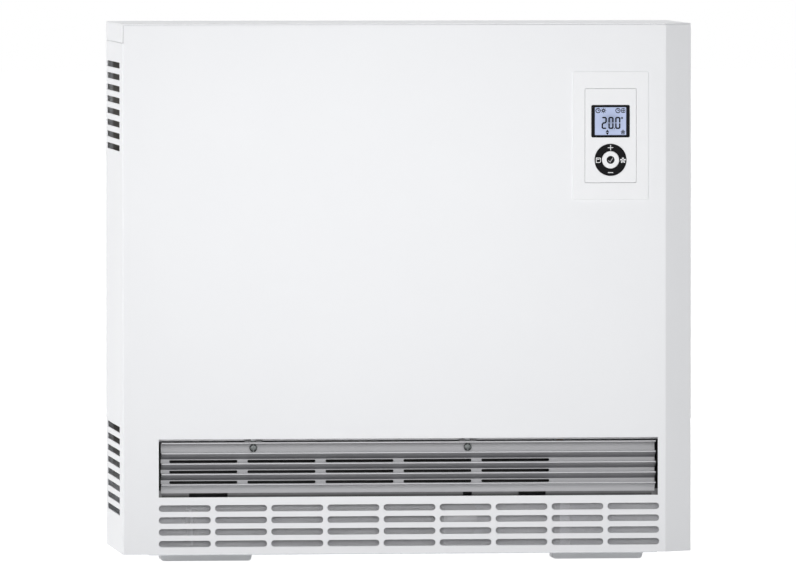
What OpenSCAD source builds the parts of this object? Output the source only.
// Electric storage heater: a sheet steel cabinet round an insulated brick
// core, with a crossflow fan, a mixing flap, a louvred discharge grille and
// a control unit. Millimetres, +Z up, +Y towards the wall, the front at -Y.
// The origin is the centre of the footprint at floor level.

/* [Cabinet] */
// Width over the side panels
body_w = 704; // [690:1:760]
// Height from the underside of the cabinet to the top of the lid
body_h = 650; // [640:1:720]
// Depth from the front panel to the back of the side panels
body_d = 240; // [236:1:270]
// Thickness of the painted sheet steel
sheet = 1.2; // [1:0.1:1.5]
// Outside radius of a bend in the sheet
bend_r = 2.4; // [2:0.1:3]
// Width of the sloping right front corner
corner_w = 34; // [28:1:40]
// Depth of the sloping right front corner
corner_d = 20; // [14:1:26]
// Depth of the front panel's side returns
return_d = 10; // [8:1:12]
// Height of the lid's skirt
skirt_h = 23; // [18:1:28]
// Open seam under the lid's skirt
seam = 0.6; // [0.4:0.1:1]
// Gap between cabinet panels that meet edge to edge
panel_gap = 0.3; // [0.2:0.05:0.5]

/* [Side vents] */
// Vent slots in one group
vent_n = 8; // [4:1:10]
// Distance between vent slots
vent_pitch = 14.5; // [12:0.5:16]
// Height of a vent slot
vent_h = 7.4; // [5:0.1:9]
// Length of a vent slot
vent_len = 178; // [140:1:190]
// Distance from the front to the vent slots
vent_front = 40; // [36:1:50]
// Distance from the top of the lid to the upper group of slots
vent_down = 48; // [40:1:60]
// Distance from the underside of the cabinet to the lower group of slots
vent_up = 46; // [40:1:60]

/* [Front openings] */
// Width of the discharge opening
outlet_w = 616; // [614:1:618]
// Height of the discharge opening
outlet_h = 71.2; // [70:0.1:73]
// Distance from the left side to the discharge opening
outlet_left = 44.5; // [42:0.5:48]
// Distance from the underside of the cabinet to the discharge opening
outlet_up = 70.1; // [68:0.1:72]
// Columns of inlet slots
inlet_cols = 9; // [5:1:9]
// Rows of inlet slots
inlet_rows = 4; // [2:1:4]
// Length of an inlet slot
inlet_len = 64; // [50:0.1:66]
// Height of an inlet slot
inlet_h = 8; // [5:0.1:9]
// Distance between inlet slots across the front
inlet_pitch_x = 69.2; // [67:0.1:69.4]
// Distance between rows of inlet slots
inlet_pitch_z = 14.5; // [12:0.1:15]
// Height of the lowest row over the underside of the cabinet
inlet_low = 13; // [11:0.5:14]
// Distance from the left side to the middle of the first slot
inlet_first = 76.5; // [76:0.5:78]

/* [Feet] */
// Height of the cabinet's underside over the floor
foot_h = 12; // [11:0.5:24]
// Width of a foot
foot_w = 120; // [100:1:130]
// Length of a foot from front to back
foot_len = 130; // [110:1:140]
// Distance from the front to a foot
foot_front = 70; // [60:1:80]
// Distance from the left side to the left foot
foot_left_in = 49; // [40:1:60]
// Distance from the right side to the right foot
foot_right_in = 50; // [40:1:60]
// Radius of a foot's lower corners
foot_r = 4.5; // [4:0.5:6]
// Wall of a foot
foot_wall = 2; // [1.5:0.1:3]
// Radius of a floor fixing hole
floor_hole_r = 4.5; // [3:0.1:5]
// Distance between a foot's fixing holes
floor_hole_gap = 90; // [70:1:100]
// Thickness of the doubling plate over the feet
doubler = 1; // [0.8:0.1:1.5]

/* [Rear] */
// Depth of the wall spacers
wall_gap = 10; // [8:1:20]
// Largest radius of a wall spacer
spacer_r = 12; // [8:0.5:14]
// Radius of the wall fixing holes
wall_hole_r = 4.5; // [3:0.1:6]
// Distance between the wall fixing holes
wall_hole_gap = 520; // [440:10:560]
// Radius of the cable entry in its grommet
cable_r = 7; // [5:0.5:8]
// Distance from the right side to the cable entry
cable_in = 94; // [74:1:104]
// Height of the cable entry over the underside of the cabinet
cable_up = 60; // [50:1:80]
// Distance from the sides to the wall spacers
spacer_in = 70; // [60:1:90]
// Distance from the underside of the cabinet to the lower wall spacers
spacer_up = 90; // [70:1:110]
// Distance from the top to the upper wall spacers
spacer_down = 120; // [100:1:160]
// Distance from the top to the wall fixing holes
wall_hole_down = 60; // [50:1:80]

/* [Discharge grille] */
// Length of the grille
grille_len = 610; // [590:1:611]
// Distance from the left side to the grille
grille_left = 48.5; // [48:0.5:50]
// Distance from the front to the louvre noses
nose_in = 6; // [4:0.5:8]
// Depth of a louvre
louvre_d = 12; // [9:0.5:14]
// Distance between louvres
louvre_pitch = 12.8; // [12:0.1:13]
// Thickness of a louvre at its nose
nose_t = 1.6; // [1:0.1:2]
// Height of a louvre's root on the web
louvre_root = 8.8; // [6:0.1:9.2]
// Thickness of the grille's web
web_t = 1.5; // [1.2:0.1:2]
// Air openings in one row
port_cols = 5; // [3:1:5]
// Width of an air opening
port_w = 84; // [70:0.1:88]
// Distance between air openings
port_pitch = 96.3; // [94:0.1:97]
// Distance from the left side to the first air opening
port_first = 58.9; // [58:0.1:64]
// Distance from the left side to the left lock
lock_left_at = 162.5; // [150:0.5:175]
// Distance from the left side to the right lock
lock_right_at = 427; // [410:0.5:440]
// Radius of a lock's head
lock_head_r = 4.8; // [4:0.1:5.2]
// Radius of a lock's spindle
lock_r = 2.5; // [2:0.1:3]
// Clearance of a turning spindle in its hole
run_gap = 0.06; // [0.03:0.01:0.1]

/* [Fan] */
// Radius of the fan rotor
rotor_r = 26; // [22:0.5:27]
// Length of the bladed part of the rotor
rotor_len = 304; // [240:1:330]
// Blades of the rotor
blade_n = 24; // [16:1:28]
// Radial depth of a blade
blade_d = 7; // [5:0.5:8]
// Thickness of a blade
blade_t = 0.9; // [0.7:0.1:1.2]
// Sweep of a blade in degrees
blade_sweep = 20; // [10:1:24]
// Radius of the rotor's stub shafts
shaft_r = 3; // [2.5:0.1:4]
// Distance from the left side to the rotor
rotor_left = 93; // [90:1:110]
// Distance from the front to the rotor's axis
rotor_in = 76; // [74:1:90]
// Height of the rotor's axis over the underside of the cabinet
rotor_up = 39; // [36:0.5:40]
// Radius of the fan motor
motor_r = 22; // [18:0.5:24]
// Length of the fan motor
motor_len = 42; // [36:1:56]

/* [Mixing flap] */
// Height of the flap below its shaft
flap_h = 34; // [28:1:36]
// Thickness of the flap
flap_t = 1.2; // [1:0.1:2]
// Radius of the flap's shaft
flap_shaft_r = 2.5; // [2:0.1:3]
// Distance from the front to the flap's shaft
flap_in = 54; // [53:0.5:54]

/* [Core] */
// Courses of storage bricks
brick_rows = 4; // [4:1:4]
// Bricks side by side in a course
brick_cols = 2; // [1:1:3]
// Height of the core's shelf over the underside of the cabinet
core_up = 150; // [149:1:160]
// Space between the left panel and the core's jacket
left_gap = 28; // [26:1:32]
// Width of the electrical compartment on the right
side_bay = 143; // [138:1:150]
// Space between the front panel and the inner front plate
front_gap = 12; // [11:0.5:14]
// Space between the jacket and the back of the side panels
rear_gap = 12; // [8:0.5:14]
// Thickness of the side, front and rear insulation
board_t = 26; // [20:1:30]
// Thickness of the insulating base slab
slab_t = 26; // [20:1:30]
// Thickness of the top insulation
top_t = 30; // [20:1:34]
// Depth of the hot air channel in front of the bricks
hot_gap = 10; // [8:1:14]
// Height of the air space over the bricks
top_air = 12; // [8:1:16]
// Space between the jacket and the top of the lid
top_gap = 43; // [36:1:50]
// Radius of a tubular heating element
element_r = 4.25; // [3.5:0.25:5]
// Distance between the legs of a heating element
leg_gap = 60; // [50:1:64]

/* [Control unit] */
// Distance from the right side to the middle of the control unit
ctrl_in = 102.5; // [100:0.5:108]
// Distance from the top to the middle of the control unit
ctrl_down = 138; // [110:1:200]
// Width of the control unit's frame
ctrl_w = 93.2; // [88:0.1:100]
// Height of the control unit's frame
ctrl_h = 157.4; // [150:0.1:170]
// Width of the fascia
fascia_w = 63; // [60:0.1:70]
// Height of the fascia
fascia_h = 115.2; // [112:0.1:125]
// Height of the frame over the front panel
ctrl_proud = 2; // [1.5:0.1:4]
// Step from the frame down to the fascia
fascia_step = 1.2; // [0.8:0.1:1.4]
// Width of the display's bezel
bezel_w = 47.5; // [43:0.1:50]
// Height of the display's bezel
bezel_h = 39.8; // [36:0.1:44]
// Width of the display
lcd_w = 38.9; // [36:0.1:41]
// Height of the display
lcd_h = 34.3; // [30:0.1:35.5]
// Height of the display's middle over the middle of the unit
lcd_up = 17.8; // [15:0.1:20]
// Drop of the ring pad's middle below the middle of the unit
ring_down = 29.7; // [28:0.1:33]
// Radius of the ring pad
ring_r = 19.5; // [17:0.1:21]
// Radius of the centre button
ok_r = 10.6; // [9:0.1:11]
// Radial gap round the ring pad and the button
key_gap = 0.35; // [0.3:0.05:0.5]
// Travel of the centre button
ok_travel = 0.8; // [0.5:0.1:1]

/* [Hidden] */
$fn = 48;

// Overall places
x_left = -body_w / 2;
x_right = body_w / 2;
y_front = ctrl_proud - (ctrl_proud + body_d + wall_gap) / 2;
y_back = y_front + body_d;
z_base = foot_h;
z_top = foot_h + body_h;
touch = 0.01;
cut = 1;

// Places given by their distance from a side, the front, the underside or the top
function from_left(d) = x_left + d;
function from_right(d) = x_right - d;
function from_front(d) = y_front + d;
function from_base(d) = z_base + d;
function from_top(d) = z_top - d;

white = [0.94, 0.94, 0.95];
grey = [0.62, 0.62, 0.65];
zinc = [0.55, 0.57, 0.6];
dark = [0.12, 0.12, 0.13];
board = [0.84, 0.8, 0.7];
brick = [0.42, 0.3, 0.24];
steel = [0.6, 0.6, 0.6];

// ---- helpers -------------------------------------------------------------

module block(lo, hi) {
    translate(lo) cube(hi - lo);
}

// Extrusions of a profile drawn in (y, z), (x, z) and (x, y)
module along_x(a, b) {
    translate([a, 0, 0]) rotate([90, 0, 90]) linear_extrude(b - a) children();
}
module along_y(a, b) {
    translate([0, b, 0]) rotate([90, 0, 0]) linear_extrude(b - a) children();
}
module along_z(a, b) {
    translate([0, 0, a]) linear_extrude(b - a) children();
}

module rod_x(a, b, y, z, r) {
    translate([a, y, z]) rotate([0, 90, 0]) cylinder(h = b - a, r = r);
}
module rod_y(a, b, x, z, r) {
    translate([x, b, z]) rotate([90, 0, 0]) cylinder(h = b - a, r = r);
}

module round_rect(w, h, r) {
    square([w - 2 * r, h], center = true);
    square([w, h - 2 * r], center = true);
    for (sx = [-1, 1], sy = [-1, 1])
        translate([sx * (w / 2 - r), sy * (h / 2 - r)]) circle(r);
}

module obround(len, h) {
    square([len - h, h], center = true);
    for (s = [-1, 1])
        translate([s * (len - h) / 2, 0]) circle(h / 2);
}

function unit(v) = v / norm(v);
function polar(r, a) = r * [cos(a), sin(a)];
function arc(c, r, a, b, n) = [for (i = [0:n]) c + polar(r, a + (b - a) * i / n)];
function heading(v) = atan2(v[1], v[0]);
function turn(a, b) = (b - a + 540) % 360 - 180;

// Corner b of the path a-b-c, rounded to radius r
function rounded_corner(a, b, c, r) =
    let (u = unit(a - b),
         v = unit(c - b),
         half = acos(u * v) / 2,
         mid = b + unit(u + v) * r / sin(half),
         start = heading(b + u * r / tan(half) - mid),
         end = heading(b + v * r / tan(half) - mid))
    arc(mid, r, start, start + turn(start, end), 3);

// An open path with its inner corners rounded
function bends(p, r) = concat(
    [p[0]],
    [for (i = [1:len(p) - 2]) each rounded_corner(p[i - 1], p[i], p[i + 1], r)],
    [p[len(p) - 1]]);

function left_of(a, b) = let (d = unit(b - a)) [-d[1], d[0]];

// Point i of an open path, moved to the left of the path by t
function beside(p, i, t) =
    let (last = len(p) - 1,
         n1 = i == 0 ? left_of(p[0], p[1]) : left_of(p[i - 1], p[i]),
         n2 = i == last ? left_of(p[last - 1], p[last]) : left_of(p[i], p[i + 1]))
    p[i] + t * (n1 + n2) / (1 + n1 * n2);

// The section of a sheet that follows a path, with its thickness on the left
module strip(p, t) {
    polygon(concat(p, [for (i = [len(p) - 1:-1:0]) beside(p, i, t)]));
}

// ---- cabinet -------------------------------------------------------------

left_return_end = from_front(return_d);
right_return_end = from_front(corner_d + return_d);
panel_top = z_top - sheet - panel_gap;
seam_z = z_top - skirt_h - seam;
flange = 14;
ctrl_x = from_right(ctrl_in);
ctrl_z = from_top(ctrl_down);
ctrl_rim = 2.5;
ctrl_cut_w = ctrl_w - 2 * ctrl_rim;
ctrl_cut_h = ctrl_h - 2 * ctrl_rim;
outlet_x = from_left(outlet_left + outlet_w / 2);
outlet_z = from_base(outlet_up + outlet_h / 2);

module front_path() {
    strip(bends([
        [x_left, left_return_end],
        [x_left, y_front],
        [x_right - corner_w, y_front],
        [x_right, y_front + corner_d],
        [x_right, right_return_end]
    ], bend_r), sheet);
}

module inlet_slots() {
    for (col = [0:inlet_cols - 1], row = [0:inlet_rows - 1])
        translate([
            from_left(inlet_first + col * inlet_pitch_x),
            from_base(inlet_low + row * inlet_pitch_z)
        ]) obround(inlet_len, inlet_h);
}

module front_panel() {
    color(white) difference() {
        union() {
            along_z(z_base, panel_top) front_path();
            along_x(x_left + 2 * sheet, x_right - corner_w)
                strip(bends([
                    [y_front, panel_top - skirt_h],
                    [y_front, panel_top],
                    [y_front + flange, panel_top]
                ], bend_r), -sheet);
        }
        along_y(y_front - cut, y_front + 3 * sheet) {
            inlet_slots();
            translate([outlet_x, outlet_z]) square([outlet_w, outlet_h], center = true);
            translate([ctrl_x, ctrl_z]) square([ctrl_cut_w, ctrl_cut_h], center = true);
        }
        // room for the lid's left skirt
        block([x_left - cut, y_front - cut, seam_z],
              [x_left + sheet + panel_gap, left_return_end + cut, z_top]);
    }
}

module lid() {
    color(white) difference() {
        intersection() {
            union() {
                along_y(y_front, y_back)
                    strip(bends([
                        [x_right, z_top - skirt_h],
                        [x_right, z_top],
                        [x_left, z_top],
                        [x_left, z_top - skirt_h]
                    ], bend_r), sheet);
                block([x_left + sheet, y_back - sheet, z_top - skirt_h],
                      [x_right - sheet, y_back, z_top - sheet / 2]);
            }
            along_z(z_top - skirt_h - cut, z_top + cut) polygon([
                [x_left - cut, y_front],
                [x_right - corner_w, y_front],
                [x_right, y_front + corner_d],
                [x_right + cut, y_front + corner_d],
                [x_right + cut, y_back],
                [x_left - cut, y_back]
            ]);
        }
        // the front panel's right return reaches up to the lid
        block([x_right - bend_r - panel_gap, y_front - cut, z_top - skirt_h - cut],
              [x_right + cut, right_return_end + panel_gap, z_top - sheet]);
        lid_screw_places() rod_y(y_back - 2 * sheet, y_back + cut, 0, 0, screw_hole_r);
    }
}

vent_lows = [from_base(vent_up), from_top(vent_down + vent_h + (vent_n - 1) * vent_pitch)];

// Drawn as the left panel; the right one is its mirror image with a later start
module side_panel(start) {
    tongue_low = seam_z - flange;
    vent_start = from_front(vent_front);
    difference() {
        union() {
            along_z(z_base, seam_z)
                strip(bends([
                    [x_left + flange, y_back],
                    [x_left, y_back],
                    [x_left, start],
                    [x_left + flange, start]
                ], bend_r), sheet);
            // joggled tongue that reaches up behind the lid's skirt
            block([x_left + sheet - touch, start + flange, tongue_low],
                  [x_left + 2 * sheet, y_back - flange, seam_z - seam]);
            block([x_left + sheet + panel_gap, start + flange, tongue_low],
                  [x_left + 2 * sheet + panel_gap, y_back - flange, z_top - 2 * bend_r]);
        }
        for (low = vent_lows, i = [0:vent_n - 1])
            block([x_left - cut, vent_start, low + i * vent_pitch],
                  [x_left + 3 * sheet, vent_start + vent_len, low + i * vent_pitch + vent_h]);
        for (z = rear_screw_z)
            rod_y(y_back - 2 * sheet, y_back + cut, x_left + rear_screw_in, z, screw_hole_r);
    }
}

module left_side_panel() {
    color(white) side_panel(left_return_end + panel_gap);
}
module right_side_panel() {
    color(white) mirror([1, 0, 0]) side_panel(right_return_end + panel_gap);
}

// Cabinet screws
screw_r = 1.9;
screw_hole_r = 2.1;
screw_head_r = 3.8;
screw_head_t = 2;
screw_len = 9;
rear_screw_in = 7;
rear_screw_z = [for (share = [0.08, 0.46, 0.84]) z_base + share * body_h];
lid_screw_x = [for (share = [-0.33, 0, 0.33]) share * body_w];

module lid_screw_places() {
    for (x = lid_screw_x) translate([x, 0, z_top - skirt_h / 2]) children();
}

module cabinet_screw() {
    rod_y(y_back - screw_len, y_back + touch, 0, 0, screw_r);
    rod_y(y_back, y_back + screw_head_t, 0, 0, screw_head_r);
}

module cabinet_screws() {
    color(steel) {
        lid_screw_places() cabinet_screw();
        for (side = [-1, 1], z = rear_screw_z)
            translate([side * from_right(rear_screw_in), 0, z]) cabinet_screw();
    }
}

spacer_places = [
    for (side = [-1, 1], z = [from_base(spacer_up), from_top(spacer_down)])
        [side * from_right(spacer_in), z]
];
wall_hole_z = from_top(wall_hole_down);
groove_d = 3;
grommet_r = cable_r + groove_d;
rear_cut_y = y_back - 4 * sheet;

module rear_wall() {
    color(zinc) difference() {
        block([from_left(bend_r + panel_gap), y_back - 2 * sheet, z_base + sheet],
              [from_right(bend_r + panel_gap), y_back - sheet, panel_top]);
        for (side = [-1, 1])
            rod_y(rear_cut_y, y_back, side * wall_hole_gap / 2, wall_hole_z, wall_hole_r);
        rod_y(rear_cut_y, y_back, from_right(cable_in), from_base(cable_up), grommet_r);
        for (side = [-1, 1], z = rear_screw_z)
            rod_y(rear_cut_y, y_back, side * from_right(rear_screw_in), z, screw_hole_r);
        lid_screw_places() rod_y(rear_cut_y, y_back, 0, 0, screw_hole_r);
    }
}

module wall_spacers() {
    color(dark) for (p = spacer_places)
        translate([p[0], y_back - sheet, p[1]]) rotate([-90, 0, 0]) {
            cylinder(h = wall_gap + sheet, r1 = spacer_r, r2 = spacer_r * 0.8);
        }
}

// Rubber bush with a groove round the edge of the rear wall
module cable_grommet() {
    rim_r = grommet_r + 3;
    lip = 3;
    color(dark) translate([from_right(cable_in), y_back - 2 * sheet, from_base(cable_up)])
        rotate([-90, 0, 0]) rotate_extrude() polygon([
            [cable_r, -lip],
            [rim_r - 1, -lip],
            [rim_r, 2 - lip],
            [rim_r, 0],
            [grommet_r, 0],
            [grommet_r, sheet],
            [rim_r, sheet],
            [rim_r, sheet + lip - 2],
            [rim_r - 2, sheet + lip],
            [cable_r, sheet + lip]
        ]);
}

// ---- base and feet -------------------------------------------------------

base_t = 1.5;
base_rim = 20;
base_lip = 6.5;
base_corner = x_right - corner_w - 3;
doubler_in = 33;
doubler_back_in = 20;

module base_plate() {
    lo_x = x_left + sheet;
    hi_x = x_right - sheet;
    lo_y = y_front + sheet + panel_gap;
    hi_y = y_back - 2 * sheet;
    color(zinc) difference() {
        union() {
            along_z(z_base, z_base + base_t) polygon([
                [lo_x, lo_y],
                [base_corner, lo_y],
                [hi_x, y_front + corner_d + 3],
                [hi_x, hi_y],
                [lo_x, hi_y]
            ]);
            block([lo_x, left_return_end + flange, z_base], [lo_x + base_t, hi_y, z_base + base_rim]);
            block([hi_x - base_t, right_return_end + flange, z_base], [hi_x, hi_y, z_base + base_rim]);
            block([lo_x, hi_y - base_t, z_base], [hi_x, hi_y, z_base + base_rim]);
            block([lo_x, lo_y, z_base], [base_corner, lo_y + base_t, z_base + base_lip]);
            block([from_left(doubler_in), lo_y + 2, z_base - doubler],
                  [base_corner - 7, hi_y - doubler_back_in, z_base + touch]);
        }
        // slits for the side panels' front flanges
        block([lo_x - cut, left_return_end, z_base - cut],
              [x_left + flange + panel_gap, left_return_end + sheet + 2 * panel_gap, z_base + base_rim]);
        block([x_right - flange - panel_gap, right_return_end, z_base - cut],
              [hi_x + cut, right_return_end + sheet + 2 * panel_gap, z_base + base_rim]);
        for (side = [-1, 1], z = rear_screw_z)
            rod_y(hi_y - 2 * base_t, hi_y + cut, side * from_right(rear_screw_in), z, screw_hole_r);
    }
}

foot_top = z_base - doubler;
foot_x = [from_left(foot_left_in + foot_w / 2), from_right(foot_right_in + foot_w / 2)];

foot_rim = 2.6;
foot_flare = foot_top - foot_rim - foot_r;
foot_end = foot_r + foot_flare;
foot_taper = 18;

// Rounded lower corners, then a flare out to the rim
module foot_section() {
    w = foot_w / 2;
    polygon(concat(
        [[-w, foot_top]],
        arc([-w, foot_r], foot_flare, 90, 0, 4),
        arc([foot_end - w, foot_r], foot_r, 195, 270, 5),
        arc([w - foot_end, foot_r], foot_r, -90, -15, 5),
        arc([w, foot_r], foot_flare, 180, 90, 4),
        [[w, foot_top]]
    ));
}

// Outline from above, narrower at the back
module foot_plan(side, end) {
    front = foot_w / 2 - side;
    back = front - foot_taper;
    y0 = from_front(foot_front) + end;
    y1 = from_front(foot_front) + foot_len - end;
    polygon([[-front, y0], [front, y0], [back, y1], [-back, y1]]);
}

module foot(x) {
    front = from_front(foot_front);
    mid = front + foot_len / 2;
    difference() {
        translate([x, 0, 0]) intersection() {
            along_y(front, front + foot_len) foot_section();
            along_z(0, foot_top) foot_plan(0, 0);
        }
        translate([x, 0, 0]) along_z(foot_wall, foot_top + cut) foot_plan(foot_end + foot_wall, foot_wall);
        for (y = [-1, 1]) translate([x, mid + y * floor_hole_gap / 2, -cut])
            cylinder(h = foot_wall + 2 * cut, r = floor_hole_r);
    }
}

module foot_left() {
    color(grey) foot(foot_x[0]);
}
module foot_right() {
    color(grey) foot(foot_x[1]);
}

// ---- discharge grille ----------------------------------------------------

outlet_top = from_base(outlet_up + outlet_h);
nose_y = from_front(nose_in);
web_y = nose_y + louvre_d;
grille_x = from_left(grille_left);
ledge_down = 4.4;
rail_z = outlet_top - ledge_down;
louvre_z = [for (i = [1:4]) rail_z - i * louvre_pitch + 0.2];
lock_down = 11.8;
lock_z = outlet_top - lock_down;
lip_drop = 6;
lip_in = 0.6;
grille_h = 62.6;
grille_low = rail_z - grille_h;
port_h = 3.4;
port_up = port_h / 2;
port_z = [for (i = [0:2]) louvre_z[i + 1] + port_up];
tab_in = 7;
tab_w = 7;
tab_up = 2.2;
tab_gap = 0.5;
hook_at = [0.2, 0.5, 0.9];
hook_w = 24;
hook_t = 1.2;
hook_gap = 0.2;
hook_drop = 4;
hook_y = web_y + 4.4;

// One louvre: level on top, and sloping from its round nose down to the web
module louvre(z, root) {
    polygon(concat(
        [[web_y + web_t / 2, z - root], [web_y + web_t / 2, z]],
        arc([nose_y + nose_t / 2, z - nose_t / 2], nose_t / 2, 90, 240, 5)
    ));
}

// The lowest louvre: a hollow curve from the nose down to the foot of the web
module low_louvre(z, root) {
    polygon(concat(
        [[web_y + web_t / 2, z - root], [web_y + web_t / 2, z]],
        arc([nose_y + nose_t / 2, z - nose_t / 2], nose_t / 2, 90, 240, 5),
        [for (a = [15:15:90]) [
            nose_y + nose_t / 2 + (louvre_d - nose_t / 2) * sin(a),
            z - root + (root - nose_t) * cos(a)]]
    ));
}

module grille_section() {
    translate([web_y, grille_low]) square([web_t, rail_z - grille_low]);
    // top ledge over the lock rail
    translate([nose_y + nose_t / 2, rail_z - nose_t]) square([louvre_d + web_t - nose_t / 2, nose_t]);
    translate([nose_y + nose_t / 2, rail_z - nose_t / 2]) circle(nose_t / 2);
    for (i = [0:2]) louvre(louvre_z[i], louvre_root);
    low_louvre(louvre_z[3], louvre_z[3] - grille_low);
}

module grille_ports() {
    for (col = [0:port_cols - 1], z = port_z)
        translate([from_left(port_first + port_w / 2 + col * port_pitch), z]) obround(port_w, port_h);
}

// Places of the guide tabs beside each lock
module at_tabs() {
    for (x = [lock_left_at, lock_right_at], side = [-1, 1])
        translate([from_left(x) + side * tab_in, 0, rail_z]) children();
}

module discharge_grille() {
    color(grey) difference() {
        union() {
            along_x(grille_x, grille_x + grille_len) grille_section();
            at_tabs() block([-tab_w / 2, web_y - 2, -touch], [tab_w / 2, web_y + web_t - touch, tab_up]);
            // hooks over the duct's lower lip
            for (share = hook_at) translate([grille_x + share * grille_len, 0, duct_lip]) {
                block([-hook_w / 2, web_y + touch, hook_gap], [hook_w / 2, hook_y, hook_gap + hook_t]);
                block([-hook_w / 2, hook_y - hook_t, -hook_drop], [hook_w / 2, hook_y, hook_gap + hook_t]);
            }
        }
        along_y(web_y - touch, web_y + 2 * web_t) grille_ports();
        for (x = [lock_left_at, lock_right_at])
            rod_y(web_y - cut, web_y + 2 * web_t, from_left(x), lock_z, lock_r + run_gap);
    }
}

// Quarter-turn lock: slotted domed head, spindle and cam behind the web
lock_head_t = 3;
lock_slot_w = 1.2;
lock_slot_d = 1.1;
head_gap = 0.3;
cam_gap = 0.3;
cam_t = 2.2;
cam_w = 6;
cam_r = 12.4;

module grille_lock(at) {
    head_y = web_y - head_gap;
    cam_y = web_y + web_t + cam_gap;
    rim = lock_head_t * 0.47;
    color(dark) translate([from_left(at), 0, lock_z]) {
        difference() {
            translate([0, head_y, 0]) rotate([90, 0, 0]) rotate_extrude() polygon(concat(
                [[0, 0], [lock_head_r, 0]],
                [for (a = [0:15:75]) [lock_head_r * cos(a), rim + (lock_head_t - rim) * sin(a)]],
                [[0, lock_head_t]]
            ));
            block([-lock_slot_w / 2, head_y - lock_head_t - cut, -lock_head_r - cut],
                  [lock_slot_w / 2, head_y - lock_head_t + lock_slot_d, lock_head_r + cut]);
        }
        rod_y(head_y - touch, cam_y + cam_t, 0, 0, lock_r);
        along_y(cam_y, cam_y + cam_t) {
            circle(cam_w * 0.7);
            translate([0, cam_r / 2]) square([cam_w, cam_r], center = true);
        }
    }
}

module grille_lock_left() {
    grille_lock(lock_left_at);
}
module grille_lock_right() {
    grille_lock(lock_right_at);
}

// ---- discharge duct and mixing flap ----------------------------------------

duct_floor = from_base(outlet_up - 1.2);
duct_roof = outlet_top + 3;
duct_front = web_y - 3;
duct_lip_y = hook_y - hook_t - hook_gap;
lip_lap = 3;
duct_lip = grille_low + lip_lap;
roof_lip_y = web_y + lip_in;
notch_at = [107.2, 427, 507];
notch_w = [47.5, 11, 33.5];
duct_back = from_front(63);
duct_x0 = from_left(outlet_left - 2);
duct_x1 = from_left(outlet_left + outlet_w + 2);
core_x0 = from_left(left_gap);
core_x1 = x_right - side_bay;
core_y0 = from_front(front_gap + sheet);
core_y1 = y_back - rear_gap;
hot_y0 = core_y0 + board_t;
hot_y1 = hot_y0 + hot_gap;
shelf_z = from_base(core_up);
shelf_t = 1.5;
flap_y = from_front(flap_in);
flap_z = duct_roof - flap_shaft_r - 5.5;
flap_x0 = core_x0 + board_t + 6;
flap_x1 = core_x1 - board_t - 6;
flap_pin = 12;
flap_tail = 22;
plate_in = 8;
plate_r = 9;
bypass_h = flap_h - 14;
bypass_z = flap_z - flap_h + 4;
bypass_x0 = flap_x0 + 10;
bypass_x1 = flap_x1 - 10;
hole_gap = 0.4;

module air_outlet_duct() {
    color(zinc) difference() {
        union() {
            along_x(duct_x0, duct_x1) strip([
                [duct_lip_y, duct_lip],
                [duct_lip_y, duct_floor],
                [duct_back, duct_floor],
                [duct_back, duct_roof],
                [roof_lip_y, duct_roof],
                [roof_lip_y, duct_roof - lip_drop]
            ], -sheet);
            for (x = [duct_x0 - sheet, duct_x1])
                block([x, duct_front, duct_floor - sheet],
                      [x + sheet, duct_back + sheet, duct_roof + sheet]);
            // bearing plates for the ends of the flap's shaft
            for (x = [flap_x0 - plate_in - 2 * sheet, flap_x1 + plate_in])
                block([x, flap_y - plate_r, flap_z - plate_r + 1],
                      [x + 2 * sheet, duct_back + touch, duct_roof + touch]);
        }
        // hot air from the core and cold air from the fan
        block([flap_x0, hot_y0, duct_roof - cut], [flap_x1, hot_y1, duct_roof + 2 * sheet]);
        block([bypass_x0, duct_back - cut, bypass_z],
              [bypass_x1, duct_back + 2 * sheet, bypass_z + bypass_h]);
        rod_x(flap_x0 - flap_pin, flap_x0, flap_y, flap_z, flap_shaft_r + run_gap);
        rod_x(flap_x1, flap_x1 + flap_pin, flap_y, flap_z, flap_shaft_r + run_gap);
        // notches in the lower lip
        for (i = [0:2]) translate([from_left(notch_at[i]), duct_lip_y, 0])
            block([-notch_w[i] / 2, -sheet - cut, duct_floor], [notch_w[i] / 2, cut, duct_lip + cut]);
        // the upper lip stops at the grille's guide tabs
        at_tabs() block([-tab_w / 2 - tab_gap, web_y - 3, 1],
                        [tab_w / 2 + tab_gap, web_y + web_t + tab_gap, tab_up + tab_gap]);
    }
}

module mixing_flap() {
    back = flap_y + flap_shaft_r;
    low = flap_z - flap_h;
    color(steel) {
        rod_x(flap_x0 - flap_pin, flap_x1 + flap_tail, flap_y, flap_z, flap_shaft_r);
        block([flap_x0, back - flap_t, low], [flap_x1, back, flap_z]);
        // rim that shuts the gap to the duct's back
        block([flap_x0, back - flap_t, low], [flap_x1, duct_back - 0.3, low + flap_t]);
    }
}

// Bimetal spiral round the flap's shaft, its outer end riveted to the duct's roof
bimetal_turns = 3;
bimetal_pitch = 1.25;
bimetal_t = 0.6;
bimetal_gap = 0.25;
bimetal_w = 8;
bimetal_foot = 6;

module flap_bimetal() {
    inner = flap_shaft_r + bimetal_gap + bimetal_t;
    last = inner + bimetal_pitch * bimetal_turns;
    top = duct_roof - flap_z;
    start_x = flap_x1 + flap_pin;
    color("peru") translate([0, flap_y, flap_z]) along_x(start_x, start_x + bimetal_w) strip(concat(
        [for (a = [0:20:bimetal_turns * 360 - 20]) polar(inner + bimetal_pitch * a / 360, a)],
        [[last, 0], [last, top], [last - bimetal_foot, top]]
    ), bimetal_t);
}

// ---- inlet filter and fan ---------------------------------------------------

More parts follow.
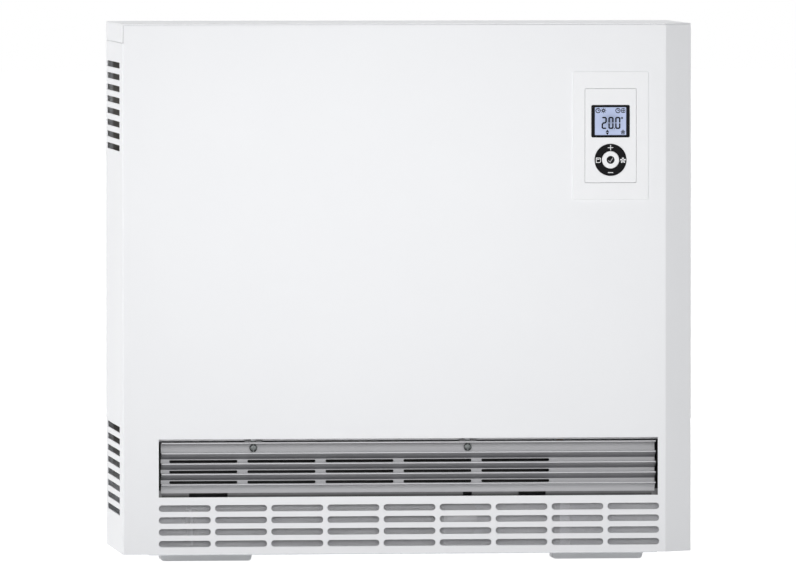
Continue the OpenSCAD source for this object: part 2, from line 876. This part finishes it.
filter_y = from_front(3.4);
filter_t = 6;
filter_rim = 4;
window_gap = 0.6;
filter_side = inlet_len / 2 + window_gap + filter_rim;
filter_x0 = from_left(inlet_first - filter_side);
filter_x1 = from_left(inlet_first + (inlet_cols - 1) * inlet_pitch_x + filter_side);
filter_z0 = from_base(base_t + 0.2);
filter_z1 = from_base(outlet_up - 3);
mesh_t = 0.5;

// Plastic frame with one window behind each column of slots, and its mesh
module fluff_filter() {
    step = (filter_x1 - filter_x0 - filter_rim) / inlet_cols;
    back = filter_y + filter_t;
    color(grey) {
        difference() {
            block([filter_x0, filter_y, filter_z0], [filter_x1, back, filter_z1]);
            for (i = [0:inlet_cols - 1])
                block([filter_x0 + filter_rim + i * step, filter_y - cut, filter_z0 + filter_rim],
                      [filter_x0 + (i + 1) * step, back + cut, filter_z1 - filter_rim]);
        }
        block([filter_x0 + filter_rim - 1, back - 2 - mesh_t, filter_z0 + filter_rim - 1],
              [filter_x1 - filter_rim + 1, back - 2, filter_z1 - filter_rim + 1]);
    }
}

fan_y = from_front(rotor_in);
fan_z = from_base(rotor_up);
rotor_x0 = from_left(rotor_left);
rotor_x1 = rotor_x0 + rotor_len;
tray_z = from_base(base_t);
tray_t = 1.2;
tray_lip = 8;
tray_in = 24;
scroll_gap = 3;
scroll_grow = 14;
scroll_start = 235;
scroll_end = 390;
house_y1 = fan_y + scroll(scroll_end) * cos(scroll_end);
plenum_in = 20;
plenum_y0 = duct_back + 2 * sheet + 2;
plenum_y1 = core_y1 - 14;
plenum_z = from_base(outlet_up + 2);
fan_side = 1.5;
rotor_gap = 3;
house_x0 = rotor_x0 - rotor_gap - fan_side;
house_x1 = rotor_x1 + rotor_gap + fan_side;
bearing_seat = 5;
motor_boss = 7;

module fan_tray() {
    lo = [core_x0 + plenum_in, from_front(tray_in), tray_z];
    hi_x = core_x1 - plenum_in;
    color(zinc) {
        block(lo, [hi_x, y_back - tray_in, tray_z + tray_t]);
        block(lo, [hi_x, lo[1] + tray_t, tray_z + tray_lip]);
    }
}

// Distance of the scroll's wall from the axis at angle a
function scroll(a) =
    rotor_r + scroll_gap + scroll_grow * (a - scroll_start) / (scroll_end - scroll_start);

module fan_housing() {
    axis = [fan_y, fan_z];
    wall = [for (a = [scroll_start:10:scroll_end - 15]) axis + polar(scroll(a), a)];
    tongue = arc(axis, rotor_r + 2.5, 150, 96, 6);
    front = fan_y - rotor_r - 6;
    side = [
        [front, tray_z + tray_t],
        [house_y1 + sheet, tray_z + tray_t],
        [house_y1 + sheet, plenum_z],
        [fan_y - 6, plenum_z],
        [front, fan_z + 10]
    ];
    color(zinc) {
        along_x(house_x0, house_x1) {
            strip(concat(wall, [[house_y1, fan_z + 14], [house_y1, plenum_z]]), -sheet);
            strip(concat(tongue, [[tongue[6][0], plenum_z]]), sheet);
        }
        difference() {
            along_x(house_x0, house_x0 + fan_side) polygon(side);
            rod_x(house_x0 - cut, house_x0 + fan_side + cut, fan_y, fan_z, shaft_r + bearing_seat);
        }
        difference() {
            along_x(house_x1 - fan_side, house_x1) polygon(side);
            rod_x(house_x1 - fan_side - cut, house_x1 + cut, fan_y, fan_z, shaft_r + motor_boss);
        }
    }
}

// Crossflow rotor: curved blades between discs, with a stub shaft at each end
module fan_rotor() {
    inner = rotor_r - blade_d;
    disc = 1.2;
    bays = 3;
    blade = [for (t = [0:0.25:1]) polar(inner + blade_d * t, blade_sweep * t * t)];
    color(dark) {
        translate([0, fan_y, fan_z]) along_x(rotor_x0, rotor_x1)
            for (i = [0:blade_n - 1]) rotate(i * 360 / blade_n) strip(blade, blade_t);
        for (i = [0:bays]) translate([i * (rotor_len - disc) / bays, 0, 0]) difference() {
            rod_x(rotor_x0, rotor_x0 + disc, fan_y, fan_z, rotor_r + 0.6);
            if (i > 0 && i < bays) rod_x(rotor_x0 - cut, rotor_x0 + disc + cut, fan_y, fan_z, inner - 2);
        }
        rod_x(house_x0 - 7, rotor_x0 + disc, fan_y, fan_z, shaft_r);
        rod_x(rotor_x1 - disc, house_x1 + motor_len / 2, fan_y, fan_z, shaft_r);
    }
}

module fan_bearing() {
    color(dark) translate([house_x0, fan_y, fan_z]) rotate([0, 90, 0]) difference() {
        union() {
            translate([0, 0, -4]) cylinder(h = 4, r = shaft_r + bearing_seat + 3);
            translate([0, 0, -touch]) cylinder(h = fan_side + 0.6, r = shaft_r + bearing_seat - 0.1);
        }
        translate([0, 0, -4 - cut]) cylinder(h = 8 + fan_side, r = shaft_r + run_gap);
    }
}

module fan_motor() {
    color(steel) difference() {
        union() {
            rod_x(house_x1 - fan_side, house_x1 + touch, fan_y, fan_z, shaft_r + motor_boss - 0.2);
            rod_x(house_x1, house_x1 + 3, fan_y, fan_z, motor_r);
            rod_x(house_x1 + 2, house_x1 + motor_len - 4, fan_y, fan_z, motor_r - 2);
            rod_x(house_x1 + motor_len - 5, house_x1 + motor_len, fan_y, fan_z, motor_r - 8);
            block([house_x1, fan_y - 12, tray_z + tray_t], [house_x1 + 3, fan_y + 12, fan_z]);
        }
        rod_x(house_x1 - 2 * fan_side, house_x1 + motor_len / 2 + 3, fan_y, fan_z, shaft_r + run_gap);
    }
}

// Box that leads the fan's air into the ducts of the base slab
module plenum_box() {
    x0 = core_x0 + plenum_in;
    x1 = core_x1 - plenum_in;
    color(zinc) difference() {
        block([x0, plenum_y0, plenum_z], [x1, plenum_y1, shelf_z - shelf_t]);
        block([x0 + sheet, plenum_y0 + sheet, plenum_z + sheet], [x1 - sheet, plenum_y1 - sheet, shelf_z]);
        block([house_x0 + fan_side, fan_y, plenum_z - cut],
              [house_x1 - fan_side, house_y1, plenum_z + 2 * sheet]);
        block([bypass_x0, plenum_y0 - cut, bypass_z],
              [bypass_x1, plenum_y0 + 2 * sheet, bypass_z + bypass_h]);
    }
}

// ---- core ---------------------------------------------------------------------

brick_x0 = core_x0 + board_t + 1;
brick_x1 = core_x1 - board_t - 1;
brick_y0 = hot_y1;
brick_y1 = core_y1 - board_t - 1;
brick_z0 = shelf_z + slab_t;
top_board_z = from_top(top_gap + sheet + top_t);
brick_top = top_board_z - top_air;
course_h = (brick_top - brick_z0) / brick_rows;
core_mid_y = (brick_y0 + brick_y1) / 2;
brick_gap = 0.2;
duct_w = 62;
duct_d = 14;
duct_rows = [-0.38, 0, 0.38];
duct_cols = 3;

module air_duct_holes(low, high) {
    brick_w = (brick_x1 - brick_x0) / brick_cols;
    step = brick_w / duct_cols;
    for (i = [0:brick_cols * duct_cols - 1], row = duct_rows)
        translate([brick_x0 + (i + 0.5) * step, core_mid_y + row * (brick_y1 - brick_y0), 0])
            block([-duct_w / 2, -duct_d / 2, low], [duct_w / 2, duct_d / 2, high]);
}

module core_shelf() {
    color(zinc) difference() {
        block([core_x0 - sheet, core_y0 - sheet, shelf_z - shelf_t],
              [core_x1 + sheet, core_y1 + sheet, shelf_z]);
        air_duct_holes(shelf_z - 2 * shelf_t, shelf_z + cut);
        block([flap_x0, hot_y0, shelf_z - 2 * shelf_t], [flap_x1, hot_y1, shelf_z + cut]);
    }
}

module core_support(x, way) {
    lo_y = duct_back + sheet + 2;
    color(zinc) along_z(from_base(base_t), shelf_z - shelf_t) strip(bends([
        [x + way * flange, lo_y],
        [x, lo_y],
        [x, core_y1],
        [x + way * flange, core_y1]
    ], bend_r), -way * sheet);
}

module core_support_left() {
    core_support(core_x0, 1);
}
module core_support_right() {
    core_support(core_x1, -1);
}

module element_holes(r) {
    for (i = [1:brick_rows - 1], side = [-1, 1])
        rod_x(core_x1 - board_t - cut, core_x1 + 3 * sheet,
              core_mid_y + side * leg_gap / 2, brick_z0 + i * course_h, r);
}

sensor_r = 3;
sensor_deep = 55;
sensor_z = brick_top - course_h / 2;
sensor_y = core_mid_y + 0.19 * (brick_y1 - brick_y0);

module core_jacket() {
    color(zinc) difference() {
        along_z(shelf_z, from_top(top_gap)) strip([
            [core_x0, core_y0],
            [core_x0, core_y1],
            [core_x1, core_y1],
            [core_x1, core_y0]
        ], sheet);
        element_holes(element_r + 1);
        rod_x(core_x1 - cut, core_x1 + 3 * sheet, sensor_y, sensor_z, sensor_r + hole_gap);
    }
}

module inner_front_plate() {
    color(zinc)
        block([core_x0 - sheet, core_y0 - sheet, shelf_z], [core_x1 + sheet, core_y0, from_top(top_gap)]);
}

module inner_top_plate() {
    color(zinc) block([core_x0, core_y0, from_top(top_gap + sheet)], [core_x1, core_y1, from_top(top_gap)]);
}

module base_slab() {
    color(board) difference() {
        block([core_x0, core_y0, shelf_z], [core_x1, core_y1, brick_z0]);
        air_duct_holes(shelf_z - cut, brick_z0 + cut);
        block([flap_x0, hot_y0, shelf_z - cut], [flap_x1, hot_y1, brick_z0 + cut]);
    }
}

module front_insulation() {
    color(board) block([core_x0, core_y0, brick_z0], [core_x1, hot_y0, top_board_z]);
}
module rear_insulation() {
    color(board) block([core_x0, core_y1 - board_t, brick_z0], [core_x1, core_y1, top_board_z]);
}
module left_insulation() {
    color(board) block([core_x0, hot_y0, brick_z0], [core_x0 + board_t, core_y1 - board_t, top_board_z]);
}
module right_insulation() {
    color(board) difference() {
        block([core_x1 - board_t, hot_y0, brick_z0], [core_x1, core_y1 - board_t, top_board_z]);
        element_holes(element_r + hole_gap);
        rod_x(core_x1 - board_t - cut, core_x1 + cut, sensor_y, sensor_z, sensor_r + hole_gap);
    }
}
module top_insulation() {
    color(board) block([core_x0, core_y0, top_board_z], [core_x1, core_y1, from_top(top_gap + sheet)]);
}

// Hairpin of a heating element between two courses; grow widens it to its groove
module hairpin(i, grow, end) {
    z = brick_z0 + i * course_h;
    bend_x = brick_x0 + leg_gap / 2 + 12;
    for (side = [-1, 1]) rod_x(bend_x, end, core_mid_y + side * leg_gap / 2, z, element_r + grow);
    translate([bend_x, core_mid_y, z]) rotate([0, 0, 90]) rotate_extrude(angle = 180)
        translate([leg_gap / 2, 0]) circle(element_r + grow);
}

module brick_course(n) {
    low = brick_z0 + (n - 1) * course_h;
    width = (brick_x1 - brick_x0) / brick_cols;
    color(brick) difference() {
        for (i = [0:brick_cols - 1])
            block([brick_x0 + i * width + brick_gap, brick_y0, low],
                  [brick_x0 + (i + 1) * width - brick_gap, brick_y1, low + course_h]);
        air_duct_holes(low - cut, low + course_h + cut);
        if (n > 1) hairpin(n - 1, hole_gap, brick_x1 + cut);
        if (n < brick_rows) hairpin(n, hole_gap, brick_x1 + cut);
        if (n == brick_rows)
            rod_x(brick_x1 - sensor_deep - 5, brick_x1 + cut, sensor_y, sensor_z, sensor_r + hole_gap);
    }
}

module brick_course_1() {
    brick_course(1);
}
module brick_course_2() {
    brick_course(2);
}
module brick_course_3() {
    brick_course(3);
}
module brick_course_4() {
    brick_course(4);
}

seal_end = 20;
stud_end = 32;
stud_r = 2;

// Flange on the jacket, with an end seal and a terminal stud on each leg
module heating_element(i) {
    z = brick_z0 + i * course_h;
    face = core_x1 + sheet;
    color(steel) {
        hairpin(i, 0, face + 8);
        block([face, core_mid_y - leg_gap / 2 - 12, z - 8],
              [face + 2, core_mid_y + leg_gap / 2 + 12, z + 8]);
        for (side = [-1, 1]) {
            rod_x(face + 7, face + seal_end, core_mid_y + side * leg_gap / 2, z, element_r + 1.5);
            rod_x(face + seal_end - 1, face + stud_end, core_mid_y + side * leg_gap / 2, z, stud_r);
        }
    }
}

module heating_element_1() {
    heating_element(1);
}
module heating_element_2() {
    heating_element(2);
}
module heating_element_3() {
    heating_element(3);
}

// ---- electrical compartment -----------------------------------------------------

bay_x = core_x1 + sheet;
tray_out = 78;
tray_x = bay_x + tray_out;
tray_lo = brick_z0 + 10;
tray_hi = brick_top - 20;
tray_front = 58;

module safety_thermostat() {
    z = brick_z0 + (brick_rows - 1.5) * course_h;
    color(dark) {
        block([bay_x, core_mid_y - 22, z - 16], [bay_x + 3, core_mid_y + 22, z + 16]);
        rod_x(bay_x + 2, bay_x + 20, core_mid_y, z, 13);
        rod_x(bay_x + 19, bay_x + 26, core_mid_y, z, 3.5);
    }
}

module core_sensor() {
    color(steel) {
        rod_x(brick_x1 - sensor_deep, bay_x + 14, sensor_y, sensor_z, sensor_r);
        rod_x(bay_x, bay_x + 6, sensor_y, sensor_z, sensor_r + 3);
    }
}

module electrical_tray() {
    color(zinc) along_z(tray_lo, tray_hi) strip(bends([
        [bay_x, core_y1 - 30],
        [bay_x, core_y1 - 2],
        [tray_x, core_y1 - 2],
        [tray_x, from_front(tray_front)]
    ], bend_r), -sheet);
}

standoff = 5;
pcb_t = 1.6;
pcb_w = 120;
pcb_h = 170;
board_x = tray_x - sheet - standoff;
pcb_y = from_front(tray_front + 12);
pcb_up = 130;
pcb_z = tray_lo + pcb_up;
relay_up = 15;
relay_w = 26;
relay_h = 30;
relay_d = 25;
relay_pitch = 34;

// Board on four standoffs, with a transformer and a row of capacitors
module charge_board() {
    transformer = [27, 40, 45];
    cap_r = 6;
    cap_h = 20;
    color("darkgreen") {
        block([board_x - pcb_t, pcb_y, pcb_z], [board_x, pcb_y + pcb_w, pcb_z + pcb_h]);
        for (y = [6, pcb_w - 6], z = [6, pcb_h - 6])
            rod_x(board_x - touch, tray_x - sheet, pcb_y + y, pcb_z + z, 2.5);
        translate([board_x - pcb_t + touch - transformer[0], pcb_y + 10, pcb_z + pcb_h - 60])
            cube(transformer);
        for (i = [0:2])
            rod_x(board_x - pcb_t - cap_h, board_x - pcb_t + touch,
                  pcb_y + pcb_w - (i + 1) * 3 * cap_r, pcb_z + pcb_h - 25, cap_r);
    }
}

module heater_relays() {
    color(dark) for (i = [0:2])
        translate([board_x - pcb_t - relay_d, pcb_y + 12 + i * relay_pitch, pcb_z + relay_up])
            cube([relay_d, relay_w, relay_h]);
}

// Mains terminals: a clamp screw well for each way, with slits between the ways
module terminal_block() {
    ways = 8;
    pitch = 12;
    depth = 26;
    height = 26;
    well_r = 3.4;
    slit = 1.2;
    face = tray_x - sheet - depth;
    color(white) translate([face, pcb_y + 12, tray_lo + 20]) difference() {
        cube([depth, ways * pitch, height]);
        for (i = [0:ways - 1]) rod_x(-cut, depth - 12, (i + 0.5) * pitch, height / 2, well_r);
        for (i = [1:ways - 1])
            block([-cut, i * pitch - slit / 2, -cut], [depth - 20, i * pitch + slit / 2, height + cut]);
    }
}

// ---- control unit -----------------------------------------------------------------

fascia_y = y_front - ctrl_proud + fascia_step;
fascia_t = 2;
fascia_gap = 0.4;
lcd_z = ctrl_z + lcd_up;
ring_z = ctrl_z - ring_down;
ring_t = 2.3;
ring_back = fascia_y + 1.8;
frame_back = y_front + 8;
bezel_back = fascia_y + 2.4;
mat_y = ring_back + 2.5;
mat_t = 0.8;
board_y = mat_y + mat_t;
shell_t = 2;
shell_d = 28;

module at_ctrl(z) {
    translate([ctrl_x, z]) children();
}
module at_ring() {
    translate([ctrl_x, 0, ring_z]) children();
}

module controller_frame() {
    color(white) difference() {
        union() {
            along_y(y_front - ctrl_proud, y_front) at_ctrl(ctrl_z) round_rect(ctrl_w, ctrl_h, 2);
            along_y(y_front - touch, frame_back)
                at_ctrl(ctrl_z) round_rect(ctrl_cut_w - 0.6, ctrl_cut_h - 0.6, 1.5);
        }
        along_y(y_front - ctrl_proud - cut, frame_back + cut)
            at_ctrl(ctrl_z) round_rect(fascia_w + 2 * fascia_gap, fascia_h + 2 * fascia_gap, 1.6);
    }
}

module controller_fascia() {
    color(white) along_y(fascia_y, fascia_y + fascia_t) difference() {
        at_ctrl(ctrl_z) round_rect(fascia_w, fascia_h, 1.2);
        at_ctrl(lcd_z) round_rect(bezel_w + 0.2, bezel_h + 0.2, 2.1);
        at_ctrl(ring_z) circle(ring_r + key_gap);
    }
}

module display_bezel() {
    color(dark) along_y(fascia_y - 0.1, bezel_back) difference() {
        at_ctrl(lcd_z) round_rect(bezel_w, bezel_h, 2);
        at_ctrl(lcd_z) round_rect(lcd_w, lcd_h, 0.8);
    }
}

module display_glass() {
    color([0.66, 0.72, 0.84]) {
        along_y(fascia_y + 0.4, bezel_back + touch) at_ctrl(lcd_z) round_rect(lcd_w - 0.2, lcd_h - 0.2, 0.7);
        along_y(bezel_back, board_y) at_ctrl(lcd_z) round_rect(bezel_w - 1, bezel_h - 1, 0.7);
    }
}

// Ring and button profiles: radius, height towards the front
module turned(points) {
    translate([ctrl_x, ring_back, ring_z]) rotate([90, 0, 0]) rotate_extrude() polygon(points);
}

module ring_pad() {
    hole = ok_r + key_gap;
    color(dark) turned([
        [hole, 0],
        [ring_r, 0],
        [ring_r, ring_t - 0.6],
        [ring_r - 0.6, ring_t],
        [hole + 0.4, ring_t],
        [hole, ring_t - 0.4]
    ]);
}

module ok_button() {
    color(white) {
        turned([[0, 0], [ok_r, 0], [ok_r, ring_t - 0.4], [ok_r - 0.4, ring_t], [0, ring_t]]);
        rod_y(ring_back - touch, mat_y - ok_travel - 0.3, ctrl_x, ring_z, 4);
    }
}

module rocker_gimbal() {
    color(steel) along_y(ring_back + 0.6, ring_back + 1.2) at_ctrl(ring_z) difference() {
        circle(ok_r + 3.2);
        circle(ok_r + 0.8);
    }
}

module button_mat() {
    dome_at = (ring_r + ok_r) / 2 + 1.15;
    color(grey) {
        along_y(mat_y, mat_y + mat_t) at_ctrl(ring_z) round_rect(52, 46, 3);
        at_ring() for (a = [0:90:270])
            rotate([0, a, 0]) rod_y(ring_back + 0.9, mat_y + touch, dome_at, 0, 2.2);
    }
}

module controller_board() {
    color("darkgreen") {
        along_y(board_y, board_y + pcb_t) at_ctrl(ctrl_z) round_rect(fascia_w, fascia_h, 1);
        block([ctrl_x - 20, board_y + pcb_t - touch, ctrl_z - 30], [ctrl_x + 20, board_y + 9, ctrl_z - 16]);
        block([ctrl_x - 8, board_y + pcb_t - touch, ctrl_z + 8], [ctrl_x + 8, board_y + 4, ctrl_z + 24]);
    }
}

module controller_box() {
    color(white) difference() {
        along_y(frame_back, frame_back + shell_d)
            at_ctrl(ctrl_z) round_rect(fascia_w + 10, fascia_h + 10, 3);
        along_y(frame_back - cut, frame_back + shell_d - shell_t)
            at_ctrl(ctrl_z) round_rect(fascia_w + 10 - 2 * shell_t, fascia_h + 10 - 2 * shell_t, 2);
    }
}

// ---- nodes --------------------------------------------------------------------------

front_panel();
lid();
left_side_panel();
right_side_panel();
rear_wall();
base_plate();
foot_left();
foot_right();
wall_spacers();
cabinet_screws();
discharge_grille();
grille_lock_left();
grille_lock_right();
air_outlet_duct();
mixing_flap();
flap_bimetal();
fluff_filter();
fan_tray();
fan_housing();
fan_rotor();
fan_bearing();
fan_motor();
plenum_box();
core_shelf();
core_support_left();
core_support_right();
core_jacket();
inner_front_plate();
inner_top_plate();
base_slab();
front_insulation();
rear_insulation();
left_insulation();
right_insulation();
top_insulation();
brick_course_1();
brick_course_2();
brick_course_3();
brick_course_4();
heating_element_1();
heating_element_2();
heating_element_3();
safety_thermostat();
core_sensor();
electrical_tray();
charge_board();
heater_relays();
terminal_block();
cable_grommet();
controller_frame();
controller_fascia();
display_bezel();
display_glass();
ring_pad();
rocker_gimbal();
ok_button();
button_mat();
controller_board();
controller_box();
